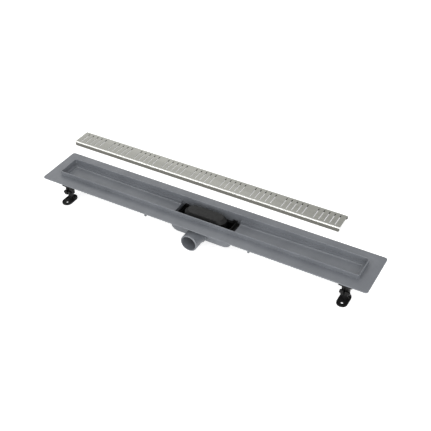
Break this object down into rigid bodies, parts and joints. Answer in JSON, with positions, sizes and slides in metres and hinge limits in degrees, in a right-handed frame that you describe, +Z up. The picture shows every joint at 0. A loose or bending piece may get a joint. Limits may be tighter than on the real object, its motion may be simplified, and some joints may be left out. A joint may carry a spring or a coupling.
{
  "type": "linear shower drain",
  "caption": "Long shower floor drain: a flanged plastic channel with side outlet, lift-out water trap, clamped height-adjustable feet and a slotted steel grate lying beside it.",
  "frame": {"origin": "on the floor under the middle of the channel, the centre of the four foot screws", "axes": "+X along the channel, -Y the way the outlet spigot points, +Z up"},
  "size_m": [1.1125, 0.3613, 0.092],
  "materials": {
    "grey_abs": "satin",
    "stainless_steel": "brushed",
    "trap_plastic": "satin",
    "seal_rubber": "matt",
    "leg_plastic": "satin",
    "black_steel": "satin",
    "zinc_steel": "bright"
  },
  "bodies": {
    "drain": {"channel_body": "grey_abs", "trap_housing": "grey_abs", "grate": "stainless_steel", "trap_cup": "trap_plastic", "trap_bell": "trap_plastic", "trap_seal": "seal_rubber", "front_left_bracket": "leg_plastic", "front_left_clamp_bolt": "black_steel", "front_left_clamp_nut": "black_steel", "front_left_bracket_screws": "zinc_steel", "rear_left_bracket": "leg_plastic", "rear_left_clamp_bolt": "black_steel", "rear_left_clamp_nut": "black_steel", "rear_left_bracket_screws": "zinc_steel", "front_right_bracket": "leg_plastic", "front_right_clamp_bolt": "black_steel", "front_right_clamp_nut": "black_steel", "front_right_bracket_screws": "zinc_steel", "rear_right_bracket": "leg_plastic", "rear_right_clamp_bolt": "black_steel", "rear_right_clamp_nut": "black_steel", "rear_right_bracket_screws": "zinc_steel"},
    "front_left_leg": {"front_left_foot": "leg_plastic"},
    "rear_left_leg": {"rear_left_foot": "leg_plastic"},
    "front_right_leg": {"front_right_foot": "leg_plastic"},
    "rear_right_leg": {"rear_right_foot": "leg_plastic"}
  },
  "joints": [
    {"name": "front_left_height", "type": "slide", "parent": "drain", "child": "front_left_leg", "axis": [0, 0, -1], "range_m": [0, 0.025]},
    {"name": "rear_left_height", "type": "slide", "parent": "drain", "child": "rear_left_leg", "axis": [0, 0, -1], "range_m": [0, 0.025]},
    {"name": "front_right_height", "type": "slide", "parent": "drain", "child": "front_right_leg", "axis": [0, 0, -1], "range_m": [0, 0.025]},
    {"name": "rear_right_height", "type": "slide", "parent": "drain", "child": "rear_right_leg", "axis": [0, 0, -1], "range_m": [0, 0.025]}
  ]
}
